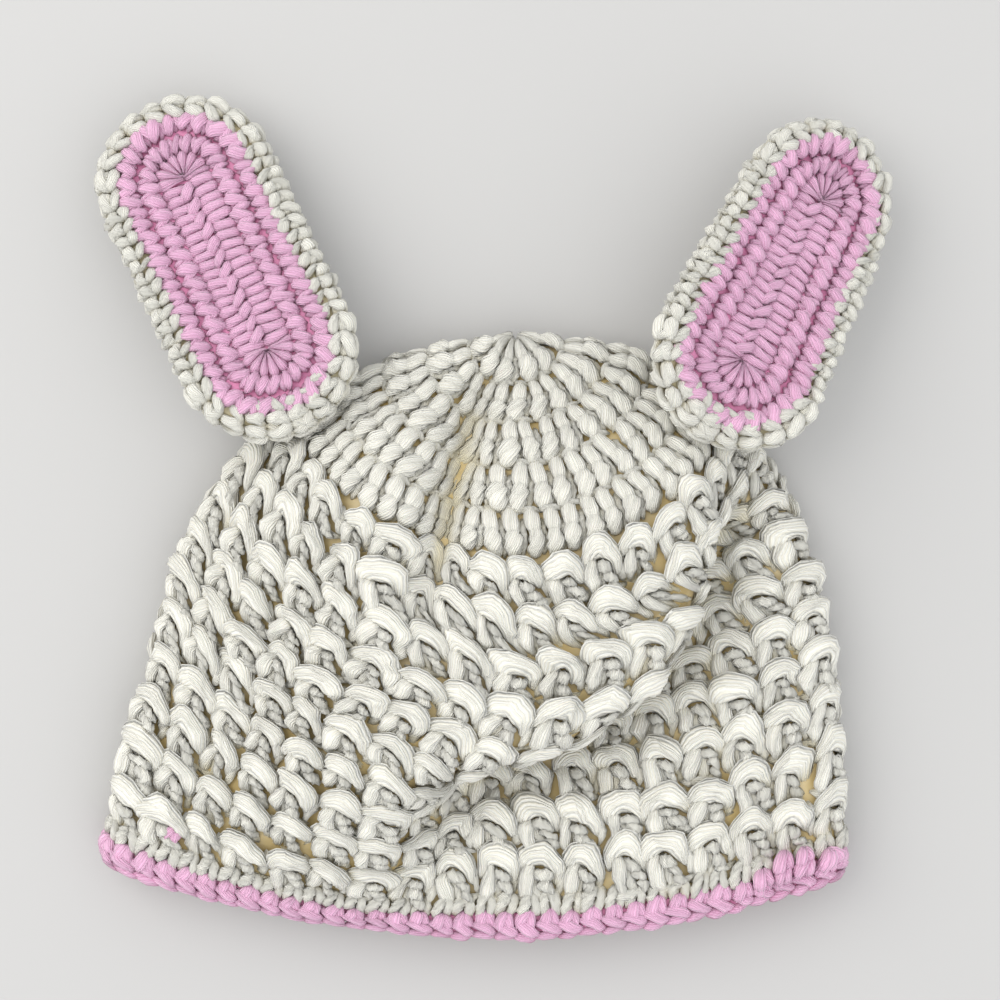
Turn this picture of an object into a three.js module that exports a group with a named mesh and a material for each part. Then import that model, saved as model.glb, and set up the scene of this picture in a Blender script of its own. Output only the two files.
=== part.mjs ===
// A crocheted baby hat with two rabbit ears, lying on its back with its crown flopped forward.
//
// Frame, in millimetres: +X runs across the hat, +Y from the rim to the crown, +Z up from the
// surface that it lies on. The origin is the centre of the bounding box's bottom.
//
// The body is one round of fabric: a closed crown, a wall and an open rim. It is charted by two
// lengths, as crochet is: along a round (from the right edge over the front to the left edge, then
// back underneath) and down a meridian (from the crown's ring to the rim). The front layer has one
// long curved fold, where the slack crown hangs over the wall below it.

import * as THREE from "three";

// ---- Driving dimensions, mm and degrees ----

const MERIDIAN = 185; // crown ring to rim, along the fabric
const EDGING = 4.1; // height of the edging round at the rim
const WALL = 4.5; // thickness of the textured fabric
const GAP = 0.35; // clearance between two pieces that meet

const BACK_HEIGHT = WALL / 2; // middle of the back layer above the surface
const EDGE_HEIGHT = 8.6; // middle of the fabric where it turns at the sides
const FRONT_HEIGHT = 14.8; // middle of the front layer where it lies low
const EDGE_TURN = 9; // how far in from the sides the fabric turns over
const PUFF = 19; // how much higher the slack crown stands than the low front

// The rounds, as the middle of the fabric lies in plan. A row is one station down the meridian:
// the right edge, the left edge, and the middle of the front with its fold drawn out flat.
const STATIONS = [
  { down: 0, rightX: 10, rightY: 151, leftX: 10, leftY: 151, frontX: 10, frontY: 151 },
  { down: 30, rightX: 38, rightY: 147, leftX: -17, leftY: 146, frontX: 9, frontY: 125 },
  { down: 60, rightX: 62, rightY: 133, leftX: -45, leftY: 133, frontX: 8, frontY: 97 },
  { down: 95, rightX: 80, rightY: 106, leftX: -69, leftY: 106, frontX: 7, frontY: 62 },
  { down: 140, rightX: 89.5, rightY: 66, leftX: -82, leftY: 66, frontX: 5, frontY: 17 },
  { down: 185, rightX: 93, rightY: 17, leftX: -94.5, leftY: 20, frontX: 2, frontY: -29 },
];
const FRONT_RIM = { x: 2, y: 1.5 }; // middle of the front rim, as it lies
const BACK_RIM_Y = 9; // middle of the back layer's rim
const CROWN_ROUND = 20; // rounds are half circles up to here
const WALL_ROUND = 120; // and shallow arcs from here
const RIM_FROM = 40; // rounds begin to follow the rim's own line here

// The fold: an arc of a circle, fully folded between two angles and fading out past them.
const FOLD = {
  centreX: -0.8,
  centreY: 103.7,
  startsAt: 51, // radius at which the fabric begins to roll over
  rollRadius: 5.5, // first turn, over the lip
  tuckRadius: 4, // second turn, back underneath
  fullFrom: -80,
  fullTo: -10,
  fade: 34,
};

// The puff of the crown: how far each influence reaches.
const PUFF_FROM_RING = 60;
const PUFF_LEFT = { none: -88, full: -12 };
const PUFF_RIM = { none: 4, full: 50 };
const PUFF_EDGE = 16;

// A soft dent down the left flank of the puff.
const DENT = { fromX: 0.4, fromY: 136, toX: -11, toY: 90, depth: 6.5, halfWidth: 7 };

// The ears: a cream outer layer with a raised border, and a pink inner layer set in it.
const EAR = {
  backThickness: 3.3,
  thickness: 7.2,
  border: 5.2,
  cup: 2.2,
};
// Where each lies, how it is tilted, how far its base is pinched and its tip narrowed.
const EARS = [
  {
    name: "left", length: 90, width: 41, narrowing: 0, pinch: 0,
    x: -62.4, y: 169.4, z: 18, turn: 26, roll: 3, pitch: -9,
  },
  {
    name: "right", length: 85, width: 39.5, narrowing: 0.28, pinch: 3.5,
    x: 74.4, y: 165.3, z: 22, turn: -29.5, roll: 14, pitch: -10,
  },
];

const CREAM = { color: 0xf1eedd, roughness: 0.85, metalness: 0 };
const PINK = { color: 0xf0a9cc, roughness: 0.9, metalness: 0 };

// ---- Small helpers ----

const clamp01 = (t) => Math.min(1, Math.max(0, t));
const smooth = (from, to, x) => {
  const t = clamp01((x - from) / (to - from));
  return t * t * (3 - 2 * t);
};
const degrees = THREE.MathUtils.radToDeg;

/** A smooth curve through one column of a table, read at any station. */
function column(table, key, name) {
  return (at) => {
    let i = 0;
    while (i < table.length - 2 && table[i + 1][key] < at) i++;
    const slope = (j) => {
      const a = table[Math.max(0, j - 1)];
      const b = table[Math.min(table.length - 1, j + 1)];
      return (b[name] - a[name]) / (b[key] - a[key]);
    };
    const [p, q] = [table[i], table[i + 1]];
    const h = q[key] - p[key];
    const t = (at - p[key]) / h;
    return (
      p[name] * (1 + 2 * t) * (1 - t) ** 2 +
      q[name] * t * t * (3 - 2 * t) +
      h * (slope(i) * t * (1 - t) ** 2 + slope(i + 1) * t * t * (t - 1))
    );
  };
}

const read = Object.fromEntries(
  ["rightX", "rightY", "leftX", "leftY", "frontX", "frontY"].map((name) => [
    name,
    column(STATIONS, "down", name),
  ]),
);

/** Where equal steps along a polyline fall, each as a fractional index into its points.
 * Steps come closer where the density is higher. */
function evenly(points, steps, density = () => 1) {
  const along = [0];
  for (let i = 1; i < points.length; i++) {
    along.push(along[i - 1] + points[i].distanceTo(points[i - 1]) * density(points[i]));
  }
  const total = along.at(-1);
  const result = [];
  let i = 0;
  for (let k = 0; k < steps; k++) {
    const at = (total * k) / steps;
    while (i < points.length - 2 && along[i + 1] < at) i++;
    result.push(i + (at - along[i]) / Math.max(1e-9, along[i + 1] - along[i]));
  }
  return result;
}

// ---- The body's middle surface ----

/** How strongly the fold is made at an angle about its centre, from 0 to 1. */
function foldStrength(angle) {
  const upper = 1 - smooth(FOLD.fullTo, FOLD.fullTo + FOLD.fade, angle);
  const lower = smooth(FOLD.fullFrom - FOLD.fade, FOLD.fullFrom, angle);
  return upper * lower;
}

/** Angle about the fold's centre in degrees, cut where the fold never is. */
function foldAngle(x, y) {
  const angle = degrees(Math.atan2(y - FOLD.centreY, x - FOLD.centreX));
  return angle > 150 ? angle - 360 : angle;
}

/** Two arcs in a row, one over the lip and one back: how far out and how far down the fabric is. */
function foldProfile(along, strength) {
  const turn = Math.PI * Math.max(strength, 0.001);
  const over = Math.PI * FOLD.rollRadius;
  const under = Math.PI * FOLD.tuckRadius;
  const first = Math.min(Math.max(along, 0), over);
  const second = Math.min(Math.max(along - over, 0), under);
  const rest = along - first - second;
  const heading = turn * (1 - second / under);
  const rolled = (turn * first) / over;
  const tucked = second > 0 ? 1 : 0;
  return {
    out:
      rest +
      (over / turn) * Math.sin(rolled) +
      tucked * (under / turn) * (Math.sin(turn) - Math.sin(heading)),
    down:
      (over / turn) * (1 - Math.cos(rolled)) +
      tucked * (under / turn) * (Math.cos(heading) - Math.cos(turn)),
  };
}

const FOLD_LENGTH = Math.PI * (FOLD.rollRadius + FOLD.tuckRadius);

/** Length of fabric that the fold takes up at an angle. */
const foldTakes = (angle) =>
  FOLD_LENGTH - foldProfile(FOLD_LENGTH, foldStrength(angle)).out;

/** A point of the finished plan, moved out to where it lies with the fold drawn flat. */
function drawnOut(x, y) {
  const dx = x - FOLD.centreX;
  const dy = y - FOLD.centreY;
  const far = Math.hypot(dx, dy);
  const share = 1 + foldTakes(foldAngle(x, y)) / Math.max(far, 1);
  return [FOLD.centreX + dx * share, FOLD.centreY + dy * share];
}

/** The side outline in plan, as the distance from it decides how the fabric turns over. */
const OUTLINE = [];
for (let down = 0; down <= MERIDIAN; down += 5) {
  OUTLINE.push([read.rightX(down), read.rightY(down)]);
  OUTLINE.unshift([read.leftX(down), read.leftY(down)]);
}

function distanceToOutline(x, y) {
  let nearest = Infinity;
  for (let i = 1; i < OUTLINE.length; i++) {
    const [ax, ay] = OUTLINE[i - 1];
    const [bx, by] = OUTLINE[i];
    const length2 = (bx - ax) ** 2 + (by - ay) ** 2 || 1;
    const t = clamp01(((x - ax) * (bx - ax) + (y - ay) * (by - ay)) / length2);
    nearest = Math.min(nearest, Math.hypot(x - ax - t * (bx - ax), y - ay - t * (by - ay)));
  }
  return nearest;
}

const turnOver = (distance) =>
  Math.sqrt(1 - (1 - clamp01(distance / EDGE_TURN)) ** 2);

/** A point of one round. across runs from 1 at the right edge to -1 at the left. */
function roundPoint(down, across, middle) {
  const [rightX, rightY, leftX, leftY] = middle.edges;
  const bow = 0.5 + 0.5 * smooth(CROWN_ROUND, WALL_ROUND, down);
  const out = Math.max(0, 1 - across * across) ** bow;
  const centreX = (rightX + leftX) / 2;
  const centreY = (rightY + leftY) / 2;
  return [
    centreX + ((rightX - leftX) / 2) * across + (middle.x - centreX) * out,
    centreY + ((rightY - leftY) / 2) * across + (middle.y - centreY) * out,
  ];
}

function dentDepth(x, y) {
  const runX = DENT.toX - DENT.fromX;
  const runY = DENT.toY - DENT.fromY;
  const length2 = runX ** 2 + runY ** 2;
  const along = ((x - DENT.fromX) * runX + (y - DENT.fromY) * runY) / length2;
  const off = ((x - DENT.fromX) * runY - (y - DENT.fromY) * runX) / Math.sqrt(length2);
  const fade = smooth(-0.35, 0.25, along) * (1 - smooth(0.7, 1.5, along));
  return DENT.depth * fade * Math.exp(-((off / DENT.halfWidth) ** 2));
}

/** A point of the front layer with its fold drawn out flat, before the rim's own line is met. */
function evenFront(down, across) {
  const edges = [
    ...drawnOut(read.rightX(down), read.rightY(down)),
    ...drawnOut(read.leftX(down), read.leftY(down)),
  ];
  return roundPoint(down, across, { edges, x: read.frontX(down), y: read.frontY(down) });
}

/** How far the rim's line, drawn out flat, lies from an even round. */
function rimShift(across) {
  const at = MERIDIAN;
  const edges = [read.rightX(at), read.rightY(at), read.leftX(at), read.leftY(at)];
  const rim = drawnOut(...roundPoint(at, across, { edges, ...FRONT_RIM }));
  const even = evenFront(at, across);
  return [rim[0] - even[0], rim[1] - even[1]];
}

/** A point of the front layer with its fold drawn out flat. */
function flatFront(down, across) {
  const even = evenFront(down, across);
  const shift = rimShift(across);
  const share = clamp01((down - RIM_FROM) / (MERIDIAN - RIM_FROM)) ** 1.3;
  const flatX = even[0] + shift[0] * share;
  return [even[0] + shift[0] * share, even[1] + shift[1] * share];
}

/** The flat point, folded: where it lies in plan and how far the fold has dropped it, 0 to 1. */
function folded(flatX, flatY) {
  const angle = foldAngle(flatX, flatY);
  const strength = foldStrength(angle);
  const far = Math.hypot(flatX - FOLD.centreX, flatY - FOLD.centreY);
  const fold = foldProfile(far - FOLD.startsAt, strength);
  const drawn = (FOLD.startsAt + fold.out) / Math.max(far, 1e-6);
  const x = FOLD.centreX + (flatX - FOLD.centreX) * drawn;
  const y = FOLD.centreY + (flatY - FOLD.centreY) * drawn;
  const dropped = fold.down / foldProfile(FOLD_LENGTH, strength).down;
  return { x, y, low: smooth(0, 0.6, strength) * dropped };
}

function frontPoint(down, across) {
  const { x, y, low } = folded(...flatFront(down, across));
  const edge = distanceToOutline(x, y);
  const fromRing = Math.hypot(x - STATIONS[0].frontX, y - STATIONS[0].frontY);
  const puff =
    PUFF *
    smooth(0, PUFF_FROM_RING, fromRing) *
    smooth(PUFF_LEFT.none, PUFF_LEFT.full, x) *
    smooth(PUFF_RIM.none, PUFF_RIM.full, y) *
    (1 - Math.exp(-((edge / PUFF_EDGE) ** 2)));
  const top = FRONT_HEIGHT + puff * (1 - low) - dentDepth(x, y);
  return new THREE.Vector3(x, y, EDGE_HEIGHT + (top - EDGE_HEIGHT) * turnOver(edge));
}

function backPoint(down, across) {
  const topY = STATIONS[0].frontY;
  const [x, y] = roundPoint(down, across, {
    edges: [read.rightX(down), read.rightY(down), read.leftX(down), read.leftY(down)],
    x: read.frontX(down),
    y: topY + (BACK_RIM_Y - topY) * (down / MERIDIAN),
  });
  const turned = turnOver(distanceToOutline(x, y));
  return new THREE.Vector3(x, y, EDGE_HEIGHT + (BACK_HEIGHT - EDGE_HEIGHT) * turned);
}

/** The fold runs down the right half across the rounds' steps, so they come closer there. */
const closerAtFold = (flat) => 1 + 2 * smooth(25, 45, flat.x) * smooth(110, 80, flat.x);

/** One closed round of the middle surface: over the front from right to left, back underneath.
 * The front's steps are even along the fabric before it is folded. */
function roundOfFabric(down) {
  const fine = 160;
  const acrossAt = (i) => Math.cos((Math.PI * i) / fine);
  const front = [];
  const back = [];
  for (let i = 0; i <= fine; i++) {
    const flat = flatFront(down, acrossAt(i));
    const { x, y } = folded(...flat);
    const height = (FRONT_HEIGHT - EDGE_HEIGHT) * turnOver(distanceToOutline(x, y));
    front.push(new THREE.Vector3(...flat, height));
    back.push(backPoint(down, -acrossAt(i)));
  }
  return [
    ...evenly(front, FRONT_STEPS, closerAtFold).map((i) => frontPoint(down, acrossAt(i))),
    ...evenly(back, BACK_STEPS).map((i) => backPoint(down, -acrossAt(i))),
  ];
}

// ---- Meshes ----

const FRONT_STEPS = 68;
const BACK_STEPS = 20;
const AROUND = FRONT_STEPS + BACK_STEPS;
const FIRST_ROUND = 3; // the crown closes inside this
const BODY_END = MERIDIAN - EDGING - 2 * GAP;
const ROWS = [
  { to: 96, steps: 9 },
  { to: 156, steps: 14 },
  { to: BODY_END, steps: 4 },
];

/** Rings of middle points, one at each station down, with the outward normal at each point. */
function fabricGrid(stations) {
  const step = 1.5;
  const normalAt = (above, below, ring, i) => {
    const n = ring.length;
    const along = ring[(i + 1) % n].clone().sub(ring[(i + n - 1) % n]);
    const downward = below[i].clone().sub(above[i]);
    return along.cross(downward).normalize();
  };
  return stations.map((down) => {
    const ring = roundOfFabric(down);
    const above = roundOfFabric(Math.max(0.5, down - step));
    const below = roundOfFabric(Math.min(MERIDIAN, down + step));
    return ring.map((p, i) => ({ p, n: normalAt(above, below, ring, i) }));
  });
}

const offset = ({ p, n }, by) => p.clone().addScaledVector(n, by);

function meshOf(name, points, faces, look) {
  const geometry = new THREE.BufferGeometry().setFromPoints(points);
  geometry.setIndex(faces);
  geometry.computeVertexNormals();
  const mesh = new THREE.Mesh(geometry, new THREE.MeshStandardMaterial(look));
  mesh.name = name;
  return mesh;
}

/** Quads between closed rings of the same count, each ring one after the other. */
function skin(ringCount, around, faces, first = 0) {
  for (let k = 0; k < ringCount - 1; k++) {
    for (let i = 0; i < around; i++) {
      const a = first + k * around + i;
      const b = first + k * around + ((i + 1) % around);
      faces.push(a, b, a + around, b, b + around, a + around);
    }
  }
}

/** Fan that closes a ring. turned reverses its faces. */
function fan(centre, first, around, faces, turned) {
  for (let i = 0; i < around; i++) {
    const a = first + i;
    const b = first + ((i + 1) % around);
    faces.push(centre, turned ? b : a, turned ? a : b);
  }
}

/** The hollow body: outer skin down to the rim, and back up inside to the crown. */
function body() {
  const stations = [FIRST_ROUND];
  for (const { to, steps } of ROWS) {
    const from = stations.at(-1);
    for (let k = 1; k <= steps; k++) stations.push(from + ((to - from) * k) / steps);
  }
  const grid = fabricGrid(stations);
  const outer = grid.map((ring) => ring.map((at) => offset(at, WALL / 2)));
  const inner = grid.map((ring) => ring.map((at) => offset(at, -WALL / 2))).reverse();
  const points = [...outer, ...inner].flat();
  for (const point of points) point.z = Math.max(point.z, 0);
  const faces = [];
  skin(outer.length + inner.length, AROUND, faces);
  const ring = frontPoint(0, 0);
  const crown = points.push(ring.clone().setY(ring.y + WALL / 2)) - 1;
  const inside = points.push(ring.clone().setY(ring.y - WALL / 2)) - 1;
  fan(crown, 0, AROUND, faces, true);
  fan(inside, (outer.length + inner.length - 1) * AROUND, AROUND, faces, false);
  return meshOf("hat_body", points, faces, CREAM);
}

/** The edging: one round of stitches all along the rim, a rounded band in section. */
function edging() {
  const grid = fabricGrid([MERIDIAN - EDGING, MERIDIAN - EDGING / 2, MERIDIAN]);
  const half = WALL / 2;
  const section = [
    [0, 0.8],
    [1, 1],
    [2, 0.7],
    [2, -0.7],
    [1, -1],
    [0, -0.8],
  ];
  const rings = section.map(([row, side]) => grid[row].map((at) => offset(at, half * side)));
  const points = rings.flat();
  for (const point of points) point.z = Math.max(point.z, 0);
  const faces = [];
  skin(rings.length, AROUND, faces);
  const last = (rings.length - 1) * AROUND;
  for (let i = 0; i < AROUND; i++) {
    const j = (i + 1) % AROUND;
    faces.push(last + i, last + j, i, last + j, j, i);
  }
  return meshOf("brim_edging", points, faces, PINK);
}

/** The ear's outline, drawn in by a distance: straight sides and half-circle ends. */
function earOutline(ear, inset) {
  const perEnd = 14;
  const radius = ear.width / 2 - inset;
  const straight = (ear.length - ear.width) / 2;
  const ring = [];
  for (const end of [1, -1]) {
    for (let i = 0; i <= perEnd; i++) {
      const angle = (end > 0 ? 0 : Math.PI) + (Math.PI * i) / perEnd;
      const y = end * straight + radius * Math.sin(angle);
      ring.push([radius * Math.cos(angle) * (1 - (ear.narrowing * y) / ear.length), y]);
    }
  }
  return ring;
}

/** Lifts the ear's flat plan: the border cups forward, and a pinched base folds up. */
function earLift(across, along, ear) {
  const side = across / (ear.width / 2);
  const base = smooth(-0.15, -0.5, along / ear.length);
  return (EAR.cup + ear.pinch * base) * side * side;
}

/** A closed layer of an ear from rings at given insets and heights, back to front. */
function earLayer(name, rings, ear, look) {
  const points = [];
  const lift = (x, y, z) => new THREE.Vector3(x, y, z + earLift(x, y, ear));
  for (const { inset, height } of rings) {
    points.push(...earOutline(ear, inset).map(([x, y]) => lift(x, y, height)));
  }
  const around = points.length / rings.length;
  const faces = [];
  skin(rings.length, around, faces);
  const back = points.push(lift(0, 0, rings[0].height)) - 1;
  const front = points.push(lift(0, 0, rings.at(-1).height)) - 1;
  fan(back, 0, around, faces, true);
  fan(front, (rings.length - 1) * around, around, faces, false);
  return meshOf(name, points, faces, look);
}

function earOf(ear) {
  const { border, backThickness: back, thickness: full } = EAR;
  const slot = GAP;
  const bed = [9, 13, 17]; // insets shared by every layer, so that they bend alike
  const outer = earLayer(
    `ear_${ear.name}_outer`,
    [
      ...bed.toReversed().map((inset) => ({ inset, height: 0 })),
      { inset: 1.6, height: 0 },
      { inset: 0, height: 1.6 },
      { inset: 0, height: full - 1.6 },
      { inset: 1.6, height: full },
      { inset: border - 0.9, height: full - 0.2 },
      { inset: border, height: back },
      ...bed.map((inset) => ({ inset, height: back })),
    ],
    ear,
    CREAM,
  );
  const inner = earLayer(
    `ear_${ear.name}_inner`,
    [
      ...bed.toReversed().map((inset) => ({ inset, height: back + slot })),
      { inset: border + slot, height: back + slot },
      { inset: border + slot, height: full - 0.8 },
      { inset: border + 1.8, height: full + 0.2 },
      ...bed.map((inset) => ({ inset, height: full })),
    ],
    ear,
    PINK,
  );
  const group = new THREE.Group();
  group.add(outer, inner);
  group.rotation.set(
    THREE.MathUtils.degToRad(ear.pitch),
    THREE.MathUtils.degToRad(ear.roll),
    THREE.MathUtils.degToRad(ear.turn),
    "ZYX",
  );
  group.position.set(ear.x, ear.y, ear.z - full / 2);
  return group;
}

// ---- Assembly ----

const hat = new THREE.Group();
hat.add(body(), edging(), ...EARS.map(earOf));
const box = new THREE.Box3().setFromObject(hat, true);
hat.position.set(-(box.min.x + box.max.x) / 2, -(box.min.y + box.max.y) / 2, -box.min.z);

export default hat;
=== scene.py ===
import math

import bpy
import numpy as np
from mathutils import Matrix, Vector


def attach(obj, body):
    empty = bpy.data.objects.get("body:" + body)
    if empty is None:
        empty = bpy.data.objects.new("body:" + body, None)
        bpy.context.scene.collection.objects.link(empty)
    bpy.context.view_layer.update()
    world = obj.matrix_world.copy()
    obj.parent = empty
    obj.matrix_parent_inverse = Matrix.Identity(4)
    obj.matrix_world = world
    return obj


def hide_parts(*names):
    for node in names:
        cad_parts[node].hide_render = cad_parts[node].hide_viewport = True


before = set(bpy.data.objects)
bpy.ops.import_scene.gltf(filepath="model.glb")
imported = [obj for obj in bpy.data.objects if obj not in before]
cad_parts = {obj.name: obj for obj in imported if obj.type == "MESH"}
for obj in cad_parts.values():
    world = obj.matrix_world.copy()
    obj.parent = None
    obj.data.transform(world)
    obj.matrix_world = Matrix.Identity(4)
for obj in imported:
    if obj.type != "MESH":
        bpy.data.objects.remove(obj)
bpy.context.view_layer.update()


# ---------------------------------------------------------------------------------------------
# The hat's body. One round of crocheted fabric, closed at the crown and open at the rim, lying
# on its back. Its slack crown has slumped forward, so that the front layer folds over itself
# along a curve. Lengths here are in millimetres, charted as crochet is: down a meridian from the
# crown ring, and round from the right edge over the front to the left edge and back underneath.

MERIDIAN = 185.0
BACK_HEIGHT = 2.25
EDGE_HEIGHT = 8.6
FRONT_HEIGHT = 14.8
EDGE_TURN = 9.0
PUFF = 19.0

# Where each round lies in plan: its right edge, its left edge and, with the fold drawn out flat,
# the middle of its front.
STATIONS = {
    "down": (0, 30, 60, 95, 140, 185),
    "right_x": (10, 38, 62, 80, 89.5, 93),
    "right_y": (151, 147, 133, 106, 66, 17),
    "left_x": (10, -17, -45, -69, -82, -94.5),
    "left_y": (151, 146, 133, 106, 66, 20),
    "front_x": (10, 9, 8, 7, 5, 2),
    "front_y": (151, 125, 97, 62, 17, -29),
}
FRONT_RIM = (2.0, 1.5)
BACK_RIM_Y = 9.0
# Rounds are half circles down to the first distance and shallow arcs from the second.
CROWN_ROUND = 20.0
WALL_ROUND = 120.0
# Rounds begin to follow the rim's own line at the first distance, by a share that grows to the rim.
RIM_FROM = 40.0
RIM_POWER = 1.3
RIM_MOST = 1.1

FOLD = {
    "centre": (-0.8, 103.7),
    "starts_at": 51.0,
    "roll_radius": 5.5,
    "tuck_radius": 4.0,
    "full_from": -80.0,
    "full_to": -10.0,
    "fade": 34.0,
    "fully_low": 0.6,
}
# Outside the lip the wall dips, and on the lip, in the tuck and in the dent the stitches are
# squeezed flatter, which also paints shade there, since lower stitches take more of the yarn's
# painted shade colour. Each span is measured along the fabric, from where the fold ends.
GUTTER = {"depth": 4.5, "begins": -12.0, "flat_to": 12.0, "ends": 26.0}
SQUEEZED_AND_SHADED = {"on_the_lip": 0.8, "in_the_tuck": 0.2, "in_the_dent": 0.2}
TUCK_SPAN = {"begins": -20.0, "full": -12.0, "eases": 5.0, "ends": 16.0}
LIP_SPAN = {"begins": -34.0, "full": -27.0}
PUFF_FROM_RING = 60.0
PUFF_LEFT = {"none": -88.0, "full": -12.0}
PUFF_RIM = {"none": 4.0, "full": 50.0}
PUFF_EDGE = 16.0
DENT = {"start": (0.4, 136.0), "end": (-11.0, 90.0), "depth": 6.5, "half_width": 7.0}
# Shares of the dent's own length over which it deepens, and shallows again.
DENT_DEEPENS = (-0.35, 0.25)
DENT_SHALLOWS = (0.7, 1.5)


def smooth(start, end, x):
    t = np.clip((x - start) / (end - start), 0, 1)
    return t * t * (3 - 2 * t)


def station(name, down):
    """One column of the station table, read smoothly at any distance down."""
    at, value = STATIONS["down"], STATIONS[name]
    last = len(at) - 1

    def slope(j):
        a, b = max(0, j - 1), min(last, j + 1)
        return (value[b] - value[a]) / (at[b] - at[a])

    i = min(last - 1, max(0, sum(1 for d in at if d <= down) - 1))
    h = at[i + 1] - at[i]
    t = (down - at[i]) / h
    return (
        value[i] * (1 + 2 * t) * (1 - t) ** 2
        + value[i + 1] * t * t * (3 - 2 * t)
        + h * (slope(i) * t * (1 - t) ** 2 + slope(i + 1) * t * t * (t - 1))
    )


OUTLINE_STEP = 5
OUTLINE = np.array(
    [(station("left_x", d), station("left_y", d)) for d in np.arange(MERIDIAN, -1, -OUTLINE_STEP)]
    + [(station("right_x", d), station("right_y", d)) for d in np.arange(0, MERIDIAN + 1, OUTLINE_STEP)]
)


def edge_distance(x, y):
    a, b = OUTLINE[:-1], OUTLINE[1:]
    run = b - a
    length2 = np.maximum((run**2).sum(1), 1e-9)
    px, py = x[:, None] - a[:, 0], y[:, None] - a[:, 1]
    t = np.clip((px * run[:, 0] + py * run[:, 1]) / length2, 0, 1)
    return np.hypot(px - t * run[:, 0], py - t * run[:, 1]).min(1)


def turn_over(distance):
    return np.sqrt(1 - (1 - np.clip(distance / EDGE_TURN, 0, 1)) ** 2)


def fold_strength(x, y):
    angle = np.degrees(np.arctan2(y - FOLD["centre"][1], x - FOLD["centre"][0]))
    angle = np.where(angle > 150, angle - 360, angle)
    upper = 1 - smooth(FOLD["full_to"], FOLD["full_to"] + FOLD["fade"], angle)
    lower = smooth(FOLD["full_from"] - FOLD["fade"], FOLD["full_from"], angle)
    return upper * lower


def fold_profile(along, strength):
    """Two arcs in a row, over the lip and back under: how far out and how far down."""
    turn = np.pi * np.maximum(strength, 0.001)
    over, under = np.pi * FOLD["roll_radius"], np.pi * FOLD["tuck_radius"]
    first = np.clip(along, 0, over)
    second = np.clip(along - over, 0, under)
    heading = turn * (1 - second / under)
    rolled = turn * first / over
    tucked = second > 0
    out = along - first - second + over / turn * np.sin(rolled)
    out = out + tucked * under / turn * (np.sin(turn) - np.sin(heading))
    down = over / turn * (1 - np.cos(rolled))
    down = down + tucked * under / turn * (np.cos(heading) - np.cos(turn))
    return out, down


FOLD_LENGTH = np.pi * (FOLD["roll_radius"] + FOLD["tuck_radius"])


def drawn_out(x, y):
    """A point of the finished plan, moved out to where it lies with the fold drawn flat."""
    x, y = np.atleast_1d(x).astype(float), np.atleast_1d(y).astype(float)
    dx, dy = x - FOLD["centre"][0], y - FOLD["centre"][1]
    takes = FOLD_LENGTH - fold_profile(np.full_like(x, FOLD_LENGTH), fold_strength(x, y))[0]
    share = 1 + takes / np.maximum(np.hypot(dx, dy), 1)
    return FOLD["centre"][0] + dx * share, FOLD["centre"][1] + dy * share


def round_points(down, across, edges, middle):
    right_x, right_y, left_x, left_y = edges
    bow = 0.5 + 0.5 * smooth(CROWN_ROUND, WALL_ROUND, down)
    out = np.maximum(0, 1 - across**2) ** bow
    cx, cy = (right_x + left_x) / 2, (right_y + left_y) / 2
    return (
        cx + (right_x - left_x) / 2 * across + (middle[0] - cx) * out,
        cy + (right_y - left_y) / 2 * across + (middle[1] - cy) * out,
    )


def edges_at(down):
    return [station(name, down) for name in ("right_x", "right_y", "left_x", "left_y")]


def even_front(down, across):
    right_x, right_y, left_x, left_y = edges_at(down)
    right, left = drawn_out(right_x, right_y), drawn_out(left_x, left_y)
    edges = (right[0][0], right[1][0], left[0][0], left[1][0])
    return round_points(down, across, edges, (station("front_x", down), station("front_y", down)))


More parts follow.
